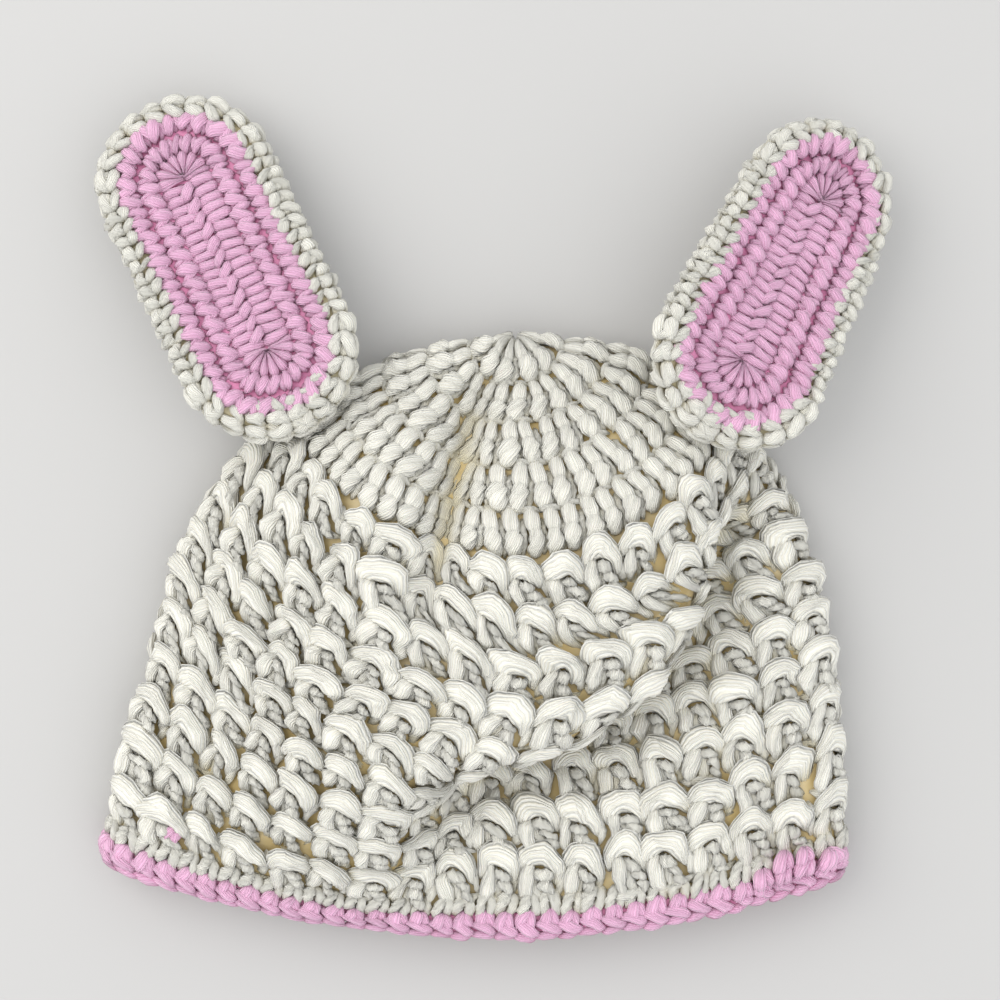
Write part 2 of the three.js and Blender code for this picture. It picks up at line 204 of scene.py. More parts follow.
def front_points(down, across):
    x, y = even_front(down, across)
    rim = drawn_out(*round_points(MERIDIAN, across, edges_at(MERIDIAN), FRONT_RIM))
    even = even_front(MERIDIAN, across)
    share = np.clip((down - RIM_FROM) / (MERIDIAN - RIM_FROM), 0, RIM_MOST) ** RIM_POWER
    x = x + (rim[0] - even[0]) * share
    y = y + (rim[1] - even[1]) * share
    strength = fold_strength(x, y)
    far = np.hypot(x - FOLD["centre"][0], y - FOLD["centre"][1])
    out, dropped = fold_profile(far - FOLD["starts_at"], strength)
    drawn = (FOLD["starts_at"] + out) / np.maximum(far, 1e-6)
    x = FOLD["centre"][0] + (x - FOLD["centre"][0]) * drawn
    y = FOLD["centre"][1] + (y - FOLD["centre"][1]) * drawn
    most = fold_profile(np.full_like(x, FOLD_LENGTH), strength)[1]
    low = smooth(0, FOLD["fully_low"], strength) * dropped / most
    past = far - FOLD["starts_at"] - FOLD_LENGTH
    tucked = strength * smooth(GUTTER["begins"], 0, past)
    gutter = GUTTER["depth"] * tucked * (1 - smooth(GUTTER["flat_to"], GUTTER["ends"], past))
    under = smooth(TUCK_SPAN["begins"], TUCK_SPAN["full"], past)
    under = under * (1 - smooth(TUCK_SPAN["eases"], TUCK_SPAN["ends"], past))
    over = smooth(LIP_SPAN["begins"], LIP_SPAN["full"], past) * (1 - under)
    loft = 1 - strength * ((1 - SQUEEZED_AND_SHADED["in_the_tuck"]) * under + (1 - SQUEEZED_AND_SHADED["on_the_lip"]) * over)
    edge = edge_distance(x, y)
    ring = np.hypot(x - STATIONS["front_x"][0], y - STATIONS["front_y"][0])
    puff = (
        PUFF
        * smooth(0, PUFF_FROM_RING, ring)
        * smooth(PUFF_LEFT["none"], PUFF_LEFT["full"], x)
        * smooth(PUFF_RIM["none"], PUFF_RIM["full"], y)
        * (1 - np.exp(-((edge / PUFF_EDGE) ** 2)))
    )
    run_x = DENT["end"][0] - DENT["start"][0]
    run_y = DENT["end"][1] - DENT["start"][1]
    from_x, from_y = x - DENT["start"][0], y - DENT["start"][1]
    along = (from_x * run_x + from_y * run_y) / (run_x**2 + run_y**2)
    off = (from_x * run_y - from_y * run_x) / math.hypot(run_x, run_y)
    fade = smooth(*DENT_DEEPENS, along) * (1 - smooth(*DENT_SHALLOWS, along))
    dent = DENT["depth"] * fade * np.exp(-((off / DENT["half_width"]) ** 2))
    loft = loft * (1 - (1 - SQUEEZED_AND_SHADED["in_the_dent"]) * (dent / DENT["depth"]) ** 2)
    top = FRONT_HEIGHT + puff * (1 - low) - dent - gutter
    z = EDGE_HEIGHT + (top - EDGE_HEIGHT) * turn_over(edge)
    return np.stack((x, y, z, loft), 1)


def back_points(down, across):
    top_y = STATIONS["front_y"][0]
    middle = (station("front_x", down), top_y + (BACK_RIM_Y - top_y) * down / MERIDIAN)
    x, y = round_points(down, across, edges_at(down), middle)
    z = EDGE_HEIGHT + (BACK_HEIGHT - EDGE_HEIGHT) * turn_over(edge_distance(x, y))
    return np.stack((x, y, z, np.ones_like(x)), 1)


def evenly(points, count):
    step = np.linalg.norm(np.diff(points[:, :3], axis=0), axis=1)
    along = np.concatenate(([0], np.cumsum(step)))
    at = np.linspace(0, along[-1], count)
    return np.stack([np.interp(at, along, column) for column in points.T], 1)


AROUND = 360


def fabric_round(down, steps):
    """One closed round of the fabric's middle, in even steps; the first point ends it too.

    Each point is x, y, z and how far the stitches stand out there, from 0 to 1.
    """
    across = np.cos(np.linspace(0, np.pi, AROUND + 1))
    front = evenly(front_points(down, across), steps // 2 + 1)
    back = evenly(back_points(down, -across), steps // 2 + 1)
    return np.concatenate((front[:-1], back))


# From these lengths' own origin to the shared frame, whose origin is under the whole hat's middle.
SHIFT = np.array([-4.010, -106.869, 0.0])
# Rounds are charted closely near the crown ring, where they are small, and on a little past the rim.
DOWN_FIRST = 0.3
CLOSE_TO = 30.0
CLOSE_ROUNDS = 24
DOWN_LAST = 190.0
WIDER_ROUNDS = 126


def mesh_object(name, points, faces, uvs=None, uv_name="chart"):
    """A plain mesh object in metres, smooth-shaded, with an optional UV at each face corner."""
    mesh = bpy.data.meshes.new(name)
    mesh.from_pydata([tuple(p) for p in points], [], faces)
    if uvs is not None:
        layer = mesh.uv_layers.new(name=uv_name)
        layer.data.foreach_set("uv", np.asarray(uvs, dtype=float).ravel())
    mesh.polygons.foreach_set("use_smooth", [True] * len(mesh.polygons))
    mesh.update()
    obj = bpy.data.objects.new(name, mesh)
    bpy.context.scene.collection.objects.link(obj)
    return obj


def chart_object(name, grid):
    """A guide surface from a grid of points, charted 0 to 1 each way with a margin round it."""
    rows, cols = grid["points"].shape[:2]
    points = grid["points"].reshape(-1, 3) / 1000
    faces, uvs = [], []
    for r in range(rows - 1):
        for c in range(cols - 1):
            corners = ((r, c), (r, c + 1), (r + 1, c + 1), (r + 1, c))
            faces.append([i * cols + j for i, j in corners])
            uvs += [(grid["u"][j], grid["v"][i]) for i, j in corners]
    obj = mesh_object(name, points, faces, uvs)
    loft = obj.data.attributes.new("loft", "FLOAT", "POINT")
    loft.data.foreach_set("value", grid["loft"].ravel())
    return obj


close = np.linspace(DOWN_FIRST, CLOSE_TO, CLOSE_ROUNDS)
downs = np.concatenate((close, np.linspace(CLOSE_TO + 1, DOWN_LAST, WIDER_ROUNDS)))
rounds = np.array([fabric_round(d, AROUND)[:-1] for d in downs])
overlap = AROUND // 12
wrapped = np.arange(-overlap, AROUND + overlap + 1)
body_grid = {
    "points": rounds[:, wrapped % AROUND, :3] + SHIFT,
    "loft": rounds[:, wrapped % AROUND, 3],
    "u": wrapped / AROUND,
    "v": downs / MERIDIAN,
}
body_chart = chart_object("body chart", body_grid)


# ---------------------------------------------------------------------------------------------
# The yarn. Soft cotton in two colours, of several fine plies laid side by side. Every stitch is a
# few short strands of it: a tube with a groove between plies, charted along and around so that
# the fibres run with the strand.

CREAM = (0.92, 0.905, 0.83, 1)
# Each yarn's darker second colour is painted shade, given to yarn low in the fabric's hollows.
CREAM_PAINTED_SHADE = (0.88, 0.78, 0.50, 1)
PINK = (0.92, 0.53, 0.74, 1)
# Painted shade for the pink yarn's hollows.
PINK_PAINTED_SHADE = (0.70, 0.25, 0.43, 1)
# The fibres' lines: how high they stand, how far they stray and how much painted shade darkens the yarn
# between them.
FIBRE = {"bump": 0.8, "height": 0.00025, "stray": 1.4, "stray_scale": 1.4, "along": 1.1, "shade": 0.14}
# Yarn no higher than this above the fabric's middle, in mm, has the painted shade colour of the
# hollows. Patches move that by up to half of PATCHY either way.
PAINTED_SHADE_TOP = -0.3
PATCHY = 1.2
PATCH_SCALE = 160


def wiring(tree):
    """Two tools for one node tree: plug a value or a socket in, and do a sum with either."""

    def plug(value, socket):
        if isinstance(value, bpy.types.NodeSocket):
            tree.links.new(value, socket)
        else:
            socket.default_value = value

    def calc(operation, a, b=0.0, c=0.0):
        node = tree.nodes.new("ShaderNodeMath")
        node.operation = operation
        for value, socket in zip((a, b, c), node.inputs):
            plug(value, socket)
        return node.outputs[0]

    return plug, calc


def yarn_material(name, colour, painted_shade_colour, fibres, full_at):
    """Yarn with painted shade, a darker warmer colour, low in the fabric's hollows; its own colour at
    full_at mm up.
    """
    material = bpy.data.materials.new(name)
    material.use_nodes = True
    nodes, links = material.node_tree.nodes, material.node_tree.links
    calc = wiring(material.node_tree)[1]
    shader = nodes["Principled BSDF"]
    shader.inputs["Roughness"].default_value = 0.46
    shader.inputs["Specular IOR Level"].default_value = 0.4
    shader.inputs["Sheen Weight"].default_value = 0.35
    shader.inputs["Sheen Roughness"].default_value = 0.45

    def noise(scale, detail, at):
        node = nodes.new("ShaderNodeTexNoise")
        node.inputs["Scale"].default_value = scale
        node.inputs["Detail"].default_value = detail
        links.new(at, node.inputs["Vector"])
        return node.outputs["Fac"]

    # The fibres: fine lines along each ply.
    charted = nodes.new("ShaderNodeUVMap")
    charted.uv_map = "strand"
    split = nodes.new("ShaderNodeSeparateXYZ")
    links.new(charted.outputs["UV"], split.inputs[0])
    lines = calc("MULTIPLY", split.outputs["X"], fibres * 2 * math.pi)
    wave = calc("SINE", lines)
    stretched = nodes.new("ShaderNodeCombineXYZ")
    links.new(lines, stretched.inputs[0])
    links.new(calc("MULTIPLY", split.outputs["Y"], FIBRE["along"]), stretched.inputs[1])
    stray = noise(FIBRE["stray_scale"], 2, stretched.outputs[0])
    height = calc("MULTIPLY_ADD", stray, FIBRE["stray"], wave)
    bump = nodes.new("ShaderNodeBump")
    bump.inputs["Strength"].default_value = FIBRE["bump"]
    bump.inputs["Distance"].default_value = FIBRE["height"]
    links.new(height, bump.inputs["Height"])
    links.new(bump.outputs["Normal"], shader.inputs["Normal"])
    # Painted shade: a darker, warmer colour in the hollows and between the fibres, a little uneven over
    # the whole piece.
    place = nodes.new("ShaderNodeTexCoord")
    patches = noise(PATCH_SCALE, 2, place.outputs["Object"])
    lift = nodes.new("ShaderNodeAttribute")
    lift.attribute_name = "lift"
    raised = nodes.new("ShaderNodeMapRange")
    raised.interpolation_type = "SMOOTHSTEP"
    raised.inputs["From Min"].default_value = PAINTED_SHADE_TOP
    raised.inputs["From Max"].default_value = full_at
    centred = calc("ADD", lift.outputs["Fac"], -PATCHY / 2)
    links.new(calc("MULTIPLY_ADD", patches, PATCHY, centred), raised.inputs["Value"])
    # Painted shade between the fibres' lines.
    between = calc("MULTIPLY_ADD", wave, FIBRE["shade"], 1 - FIBRE["shade"])
    painted_shade_mix = nodes.new("ShaderNodeMix")
    painted_shade_mix.data_type = "RGBA"
    painted_shade_mix.inputs["A"].default_value = painted_shade_colour
    painted_shade_mix.inputs["B"].default_value = colour
    links.new(calc("MULTIPLY", raised.outputs["Result"], between), painted_shade_mix.inputs["Factor"])
    links.new(painted_shade_mix.outputs["Result"], shader.inputs["Base Color"])
    return material


cream_yarn = yarn_material("cream yarn", CREAM, CREAM_PAINTED_SHADE, 22, 2.4)
pink_yarn = yarn_material("pink yarn", PINK, PINK_PAINTED_SHADE, 16, 2.0)


BLUNT = 0.35  # a strand's end, as a share of its radius
END_RINGS = 1.5  # rings over which it narrows to that


def strand(path, radius, flat=1.0, plies=4, groove=0.16, twist=0.0, rings=12):
    """One strand along a smooth path in mm: (points, faces, uvs). radius is one or one a point.

    x runs to the right as the finished stitch is looked at, y up to the round before it and z out.

    flat is its thickness over its width, and twist its turns from end to end. Each ply is two
    points of the section, its crest and the groove beside it.
    """
    path = np.array(path, dtype=float) * (-1, 1, 1)  # rounds are charted from right to left
    radius = np.broadcast_to(np.asarray(radius, dtype=float), (len(path),))
    knots = np.arange(len(path))
    at = np.linspace(0, len(path) - 1, rings)
    padded = np.concatenate(([2 * path[0] - path[1]], path, [2 * path[-1] - path[-2]]))
    i = np.minimum(at.astype(int), len(path) - 2)
    t = (at - i)[:, None]
    p0, p1, p2, p3 = padded[i], padded[i + 1], padded[i + 2], padded[i + 3]
    middle = 0.5 * (
        2 * p1
        + (p2 - p0) * t
        + (2 * p0 - 5 * p1 + 4 * p2 - p3) * t**2
        + (3 * p1 - p0 - 3 * p2 + p3) * t**3
    )
    wide = np.interp(at, knots, radius)
    ends = np.clip(np.minimum(np.arange(rings), np.arange(rings)[::-1]) / END_RINGS, 0, 1)
    wide = wide * (BLUNT + (1 - BLUNT) * np.sqrt(1 - (1 - ends) ** 2))
    along = np.gradient(middle, axis=0)
    along /= np.linalg.norm(along, axis=1)[:, None]
    side = np.cross(along, (0, 0, 1))
    side /= np.maximum(np.linalg.norm(side, axis=1)[:, None], 1e-6)
    up = np.cross(side, along)
    sides = 2 * plies
    angle = np.linspace(0, 2 * np.pi, sides, endpoint=False)
    angle = angle[None, :] + twist * 2 * np.pi * np.linspace(0, 1, rings)[:, None]
    lobes = 1 - groove * (np.arange(sides) % 2)[None, :]
    points = (
        middle[:, None]
        + side[:, None] * (np.cos(angle) * lobes * wide[:, None])[..., None]
        + up[:, None] * (np.sin(angle) * lobes * wide[:, None] * flat)[..., None]
    )
    faces, uvs = [], []
    length = np.linalg.norm(np.diff(middle, axis=0), axis=1).sum()
    for r in range(rings - 1):
        for s in range(sides):
            n = (s + 1) % sides
            faces.append((r * sides + s, (r + 1) * sides + s, (r + 1) * sides + n, r * sides + n))
            for row, col in ((r, s), (r + 1, s), (r + 1, s + 1), (r, s + 1)):
                uvs.append((col / sides, row / (rings - 1) * length))
    first = points.reshape(-1, 3)
    points = np.concatenate((first, [middle[0], middle[-1]]))
    for s in range(sides):
        n = (s + 1) % sides
        last = (rings - 1) * sides
        faces.append((len(first), s, n))
        faces.append((len(first) + 1, last + n, last + s))
        uvs += [(s / sides, 0)] * 3 + [(s / sides, length)] * 3
    return points, faces, uvs


def stitch_object(name, strands, material):
    """A stitch to be repeated, from its strands, about its own middle, in metres."""
    points, faces, uvs = [], [], []
    for part_points, part_faces, part_uvs in strands:
        first = sum(len(p) for p in points)
        points.append(part_points / 1000)
        faces += [tuple(first + i for i in face) for face in part_faces]
        uvs += part_uvs
    obj = mesh_object(name, np.concatenate(points), faces, uvs, "strand")
    obj.data.materials.append(material)
    return obj


# ---------------------------------------------------------------------------------------------
# The crochet chart. Rounds of one stitch are laid out flat, stitch beside stitch and row under
# row, and then bent onto a charted surface, each point lifted off it as it was off the flat chart,
# and less where the fabric is squeezed. What rests on the table is pressed flat against it.

TURNS = (0.16, 0.16, 0.2)  # how far a stitch may turn each way, in radians
GROWS = (0.09, 0.09, 0.16)  # and how much it may grow or shrink, as a share
GIVE_SCALE = 170
GIVE_APART = 1.7  # how far the noise is moved for each step of the seed
TABLE_SOFT = 0.001
CHART_MARGIN = 1e-5


def crochet_tree():
    tree = bpy.data.node_groups.new("crochet rounds", "GeometryNodeTree")
    face = tree.interface
    face.new_socket("Surface", in_out="INPUT", socket_type="NodeSocketGeometry")
    for label, kind in (
        ("Stitch", "NodeSocketObject"),
        ("Yarn", "NodeSocketMaterial"),
        ("Stitches in a round", "NodeSocketInt"),
        ("First stitch", "NodeSocketInt"),
        ("Last stitch", "NodeSocketInt"),
        ("Rows", "NodeSocketInt"),
        ("Stitch width", "NodeSocketFloat"),
        ("Row height", "NodeSocketFloat"),
        ("Starts down at", "NodeSocketFloat"),
        ("Meridian", "NodeSocketFloat"),
        ("Shift a row", "NodeSocketFloat"),
        ("Phase", "NodeSocketFloat"),
        ("Unevenness", "NodeSocketFloat"),
        ("Wobble", "NodeSocketFloat"),
        ("Loft", "NodeSocketFloat"),
        ("Chart from", "NodeSocketFloat"),
        ("Chart to", "NodeSocketFloat"),
        ("Seed", "NodeSocketInt"),
    ):
        face.new_socket(label, in_out="INPUT", socket_type=kind)
    face.new_socket("Fabric", in_out="OUTPUT", socket_type="NodeSocketGeometry")
    nodes, links = tree.nodes, tree.links
    given = nodes.new("NodeGroupInput").outputs
    result = nodes.new("NodeGroupOutput").inputs

    plug, calc = wiring(tree)

    def vector(x, y, z):
        node = nodes.new("ShaderNodeCombineXYZ")
        for value, socket in zip((x, y, z), node.inputs):
            plug(value, socket)
        return node.outputs[0]

    def split(value):
        node = nodes.new("ShaderNodeSeparateXYZ")
        plug(value, node.inputs[0])
        return node.outputs

    def scatter(seed, low, high):
        node = nodes.new("FunctionNodeRandomValue")
        node.data_type = "FLOAT"
        node.inputs[2].default_value = low
        node.inputs[3].default_value = high
        plug(calc("ADD", given["Seed"], seed), node.inputs["Seed"])
        return node.outputs[1]

    # One point a stitch, row by row.
    per_row = calc("ADD", calc("SUBTRACT", given["Last stitch"], given["First stitch"]), 1)
    index = nodes.new("GeometryNodeInputIndex").outputs[0]
    row = calc("FLOOR", calc("DIVIDE", calc("ADD", index, 0.5), per_row))
    column = calc("ADD", calc("SUBTRACT", index, calc("MULTIPLY", row, per_row)), given["First stitch"])
    column = calc("ADD", column, calc("MULTIPLY_ADD", row, given["Shift a row"], given["Phase"]))
    points = nodes.new("GeometryNodePoints")
    plug(calc("MULTIPLY", per_row, given["Rows"]), points.inputs["Count"])
    plug(
        vector(
            calc("MULTIPLY", calc("ADD", column, 0.5), given["Stitch width"]),
            calc("MULTIPLY", calc("ADD", row, 0.5), calc("MULTIPLY", given["Row height"], -1)),
            0.0,
        ),
        points.inputs["Position"],
    )
    # The stitch itself, no two quite alike.
    stitch = nodes.new("GeometryNodeObjectInfo")
    stitch.inputs["As Instance"].default_value = True
    plug(given["Stitch"], stitch.inputs["Object"])
    place = nodes.new("GeometryNodeInstanceOnPoints")
    plug(points.outputs[0], place.inputs["Points"])
    plug(stitch.outputs["Geometry"], place.inputs["Instance"])
    uneven = given["Unevenness"]
    turned = [calc("MULTIPLY", scatter(1 + k, -most, most), uneven) for k, most in enumerate(TURNS)]
    plug(vector(*turned), place.inputs["Rotation"])
    grown = [calc("MULTIPLY_ADD", scatter(4 + k, -most, most), uneven, 1) for k, most in enumerate(GROWS)]
    plug(vector(*grown), place.inputs["Scale"])
    realize = nodes.new("GeometryNodeRealizeInstances")
    links.new(place.outputs[0], realize.inputs[0])
    # The yarn gives a little everywhere, by a soft three-way noise.
    here = nodes.new("GeometryNodeInputPosition").outputs[0]
    give = nodes.new("ShaderNodeTexNoise")
    give.inputs["Scale"].default_value = GIVE_SCALE
    give.inputs["Detail"].default_value = 1
    moved = nodes.new("ShaderNodeVectorMath")
    plug(here, moved.inputs[0])
    plug(vector(calc("MULTIPLY", given["Seed"], GIVE_APART), 0.0, 0.0), moved.inputs[1])
    plug(moved.outputs[0], give.inputs["Vector"])
    centred = nodes.new("ShaderNodeVectorMath")
    centred.operation = "SUBTRACT"
    plug(give.outputs["Color"], centred.inputs[0])
    centred.inputs[1].default_value = (0.5, 0.5, 0.5)
    wobbled = nodes.new("ShaderNodeVectorMath")
    wobbled.operation = "MULTIPLY_ADD"
    plug(centred.outputs[0], wobbled.inputs[0])
    plug(vector(given["Wobble"], given["Wobble"], given["Wobble"]), wobbled.inputs[1])
    plug(here, wobbled.inputs[2])
    # Bend the flat chart onto the surface.
    x, y, z = split(wobbled.outputs[0])
    around = calc("DIVIDE", x, calc("MULTIPLY", given["Stitches in a round"], given["Stitch width"]))
    down = calc("DIVIDE", calc("SUBTRACT", given["Starts down at"], y), given["Meridian"])
    down = calc("MINIMUM", calc("MAXIMUM", down, given["Chart from"]), given["Chart to"])
    chart = nodes.new("GeometryNodeInputNamedAttribute")
    chart.data_type = "FLOAT_VECTOR"
    chart.inputs["Name"].default_value = "chart"
    sampled = []
    for kind in ("GeometryNodeInputPosition", "GeometryNodeInputNormal"):
        sample = nodes.new("GeometryNodeSampleUVSurface")
        sample.data_type = "FLOAT_VECTOR"
        plug(given["Surface"], sample.inputs["Mesh"])
        plug(nodes.new(kind).outputs[0], sample.inputs["Value"])
        plug(chart.outputs[0], sample.inputs["Source UV Map"])
        plug(vector(around, down, 0.0), sample.inputs["Sample UV"])
        sampled.append(sample.outputs["Value"])
    lift = nodes.new("ShaderNodeVectorMath")
    lift.operation = "MULTIPLY_ADD"
    squeezed = nodes.new("GeometryNodeSampleUVSurface")
    squeezed.data_type = "FLOAT"
    stored = nodes.new("GeometryNodeInputNamedAttribute")
    stored.data_type = "FLOAT"
    stored.inputs["Name"].default_value = "loft"
    plug(given["Surface"], squeezed.inputs["Mesh"])
    plug(stored.outputs[0], squeezed.inputs["Value"])
    plug(chart.outputs[0], squeezed.inputs["Source UV Map"])
    plug(vector(around, down, 0.0), squeezed.inputs["Sample UV"])
    height = calc("MULTIPLY", calc("MULTIPLY", z, given["Loft"]), squeezed.outputs["Value"])
    plug(sampled[1], lift.inputs[0])
    plug(vector(height, height, height), lift.inputs[1])
    plug(sampled[0], lift.inputs[2])
    # Press what would reach through the table flat, softly from a millimetre up.
    at_x, at_y, at_z = split(lift.outputs[0])
    below = calc("SUBTRACT", calc("DIVIDE", at_z, TABLE_SOFT), 1)
    pressed = calc("MULTIPLY", calc("EXPONENT", below), TABLE_SOFT)
    choose = nodes.new("GeometryNodeSwitch")
    choose.input_type = "FLOAT"
    plug(calc("LESS_THAN", at_z, TABLE_SOFT), choose.inputs["Switch"])
    plug(at_z, choose.inputs["False"])
    plug(pressed, choose.inputs["True"])
    # The stitches' height off the surface, in mm, which the yarn's material turns into painted shade
    # where it is low.
    lifted = nodes.new("GeometryNodeStoreNamedAttribute")
    lifted.data_type = "FLOAT"
    lifted.domain = "POINT"
    lifted.inputs["Name"].default_value = "lift"
    links.new(realize.outputs[0], lifted.inputs["Geometry"])
    plug(calc("MULTIPLY", height, 1000), lifted.inputs["Value"])
    bend = nodes.new("GeometryNodeSetPosition")
    links.new(lifted.outputs[0], bend.inputs["Geometry"])
    plug(vector(at_x, at_y, choose.outputs[0]), bend.inputs["Position"])
    colour = nodes.new("GeometryNodeSetMaterial")
    links.new(bend.outputs[0], colour.inputs["Geometry"])
    plug(given["Yarn"], colour.inputs["Material"])
    links.new(colour.outputs[0], result["Fabric"])
    return tree


crochet = crochet_tree()


def read(items, name, width=1, kind=float):
    values = np.empty(len(items) * width, dtype=kind)
    items.foreach_get(name, values)
    return values.reshape(-1, width) if width > 1 else values


def crocheted(name, chart, bands, yarn):
    """One piece, crocheted in bands onto a chart. Each band gives the tree's own inputs."""
    sockets = {
        item.name: item.identifier
        for item in crochet.interface.items_tree
        if item.in_out == "INPUT"
    }
    charted_down = read(chart.data.uv_layers["chart"].data, "uv", 2)[:, 1]
    parts = []
    for band in bands:
        host = chart.copy()
        host.data = chart.data.copy()
        bpy.context.scene.collection.objects.link(host)
        rounds_of = host.modifiers.new("crochet", "NODES")
        rounds_of.node_group = crochet
        given = {
            "Yarn": yarn,
            "First stitch": 0,
            "Last stitch": band["Stitches in a round"] - 1,
            "Rows": 1,
            "Meridian": MERIDIAN / 1000,
            "Shift a row": 0.0,
            "Phase": 0.0,
            "Unevenness": 1.0,
            "Wobble": 0.0022,
            "Loft": 1.0,
            "Chart from": float(charted_down.min()) + CHART_MARGIN,
            "Chart to": float(charted_down.max()) - CHART_MARGIN,
            "Seed": 7,
        }
        for label, value in (given | band).items():
            rounds_of[sockets[label]] = value
        bpy.context.view_layer.update()
        seen = host.evaluated_get(bpy.context.evaluated_depsgraph_get())
        parts.append(bpy.data.meshes.new_from_object(seen))
        bpy.data.objects.remove(host)
    points, faces, uvs, lifts = [], [], [], []
    first = 0
    for part in parts:
        points.append(read(part.vertices, "co", 3))
        loops = read(part.loops, "vertex_index", kind=int)
        starts = read(part.polygons, "loop_start", kind=int)
        ends = np.append(starts[1:], len(loops))
        faces += [tuple(loops[a:b] + first) for a, b in zip(starts, ends)]
        uvs.append(read(part.uv_layers["strand"].data, "uv", 2))
        lifts.append(read(part.attributes["lift"].data, "value"))
        first += len(part.vertices)
        bpy.data.meshes.remove(part)
    piece = mesh_object(name, np.concatenate(points), faces, np.concatenate(uvs), "strand")
    lift = piece.data.attributes.new("lift", "FLOAT", "POINT")
    lift.data.foreach_set("value", np.concatenate(lifts))
    piece.data.materials.append(yarn)
    return piece


def stitches(stitch, count, width, height, start, seed, **more):
    """A band of count stitches a round, starting start mm down; width and height are one stitch's."""
    return {
        "Stitch": stitch,
        "Stitches in a round": count,
        "Stitch width": width / 1000,
        "Row height": height / 1000,
        "Starts down at": start / 1000,
        "Seed": seed,
    } | more


def only(first, last):
    return {"First stitch": first, "Last stitch": last}


# ---------------------------------------------------------------------------------------------
# The fabric behind the stitches. Between the raised strands the hat shows the backs of its own
# stitches: a closed layer of the same yarn, thin, all round the body, coloured a darker tan as painted
# shade.

BEHIND_OUT = 0.4
BEHIND_IN = -1.5
# Both colours of this layer are painted shade, a darker tan, and it shows mostly the darker one.
BEHIND_PAINTED_SHADE = (0.68, 0.57, 0.35, 1)
BEHIND_DARKER_PAINTED_SHADE = (0.50, 0.37, 0.15, 1)
BEHIND_STEPS = 180
ABOVE_TABLE = 0.0001


def lofted(name, loops, capped):
    """A closed skin through equal rings of points in mm: capped at both ends, or run into a ring."""
    rings, steps = len(loops), len(loops[0])
    points = np.concatenate(loops) / 1000
    points[:, 2] = np.maximum(points[:, 2], ABOVE_TABLE)
    faces = []
    for r in range(rings - 1 if capped else rings):
        s = (r + 1) % rings
        for c in range(steps):
            n = (c + 1) % steps
            faces.append((r * steps + c, r * steps + n, s * steps + n, s * steps + c))
    if capped:
        faces.append(tuple(range(steps))[::-1])
        faces.append(tuple((rings - 1) * steps + c for c in range(steps)))
    return mesh_object(name, points, faces, [(0, 0)] * sum(len(f) for f in faces), "strand")


def fabric_layer(name, first, last, rows, out, inner, over_crown=False):
    """A closed layer round the body between two distances down, from out to inner of its middle.

    Its two skins meet at its edges. Over the crown each skin is closed by a face of its own instead.
    """
    at = np.linspace(first, last, rows)
    steps = BEHIND_STEPS
    ring = {d: fabric_round(d, steps)[:-1, :3] + SHIFT for d in at}
    above = {d: fabric_round(max(DOWN_FIRST, d - 1), steps)[:-1, :3] for d in at}
    below = {d: fabric_round(d + 1, steps)[:-1, :3] for d in at}
    skins = []
    for by in (out, inner):
        skin = []
        for d in at:
            along = np.roll(ring[d], -1, 0) - np.roll(ring[d], 1, 0)
            normal = np.cross(along, below[d] - above[d])
            normal /= np.linalg.norm(normal, axis=1)[:, None]
            skin.append(ring[d] + normal * by)
        skins.append(skin)
    return lofted(name, skins[0] + skins[1][::-1], over_crown)


behind = fabric_layer("fabric_behind", 2.0, 179.5, 90, BEHIND_OUT, BEHIND_IN, over_crown=True)
behind_shade_yarn = yarn_material("cream yarn behind", BEHIND_PAINTED_SHADE, BEHIND_DARKER_PAINTED_SHADE, 12, 0.5)
behind.data.materials.append(behind_shade_yarn)
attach(behind, "root")
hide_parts("hat_body")


# ---------------------------------------------------------------------------------------------
# The crown. A ring of twelve tall stitches, then rounds of them that grow by twelve a round, each
# stitch an upright post with a slanting loop over its head.

tall = stitch_object(
    "tall stitch",
    [
        strand(
            [(-0.2, 7.2, 0.6), (-0.4, 4.7, 2.0), (0.0, 2.0, 2.5), (0.4, -0.6, 1.8)],
            (1.2, 2.0, 2.1, 1.4), flat=0.8, plies=7, groove=0.2, twist=0.16, rings=10,
        ),
        strand(
            [(-0.1, 1.4, 2.0), (0.2, -1.2, 3.1), (0.0, -3.7, 2.8), (-0.3, -6.4, 0.9)],
            (1.3, 2.1, 2.1, 1.2), flat=0.8, plies=6, groove=0.24, twist=0.45, rings=13,
        ),
        strand(
            [(2.2, 4.0, 0.6), (2.4, 0.5, 1.5), (2.2, -3.0, 1.4), (1.8, -6.0, 0.6)],
            (0.8, 1.1, 1.1, 0.8), plies=3, groove=0.25, twist=0.6, rings=8,
        ),
        strand(
            [(-2.8, 5.6, 0.8), (-0.9, 6.6, 1.6), (1.0, 6.4, 1.7), (2.8, 5.4, 0.8)],
            (0.8, 1.1, 1.1, 0.8), plies=3, groove=0.25, twist=0.4, rings=7,
        ),
    ],
    cream_yarn,
)
CROWN_ROUNDS = (12, 24, 36, 48, 60)
CROWN_FROM = 0.8
CROWN_ROW = 12.0
CROWN_STITCH = 4.6
crown = crocheted(
    "crown_rounds",
    body_chart,
    [
        stitches(
            tall, count, CROWN_STITCH, CROWN_ROW, CROWN_FROM + CROWN_ROW * k, 20 + k,
            Phase=0.3 * k, Unevenness=0.7, Wobble=0.0016, Loft=0.85,
        )
        for k, count in enumerate(CROWN_ROUNDS)
    ],
    cream_yarn,
)
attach(crown, "root")
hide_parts("hat_body")


# ---------------------------------------------------------------------------------------------
# The wall. Rows of raised stitches, each a wide band of yarn hooked over the stitches below it:
# it climbs on the left, arches over and runs down on the right, round three small knots.

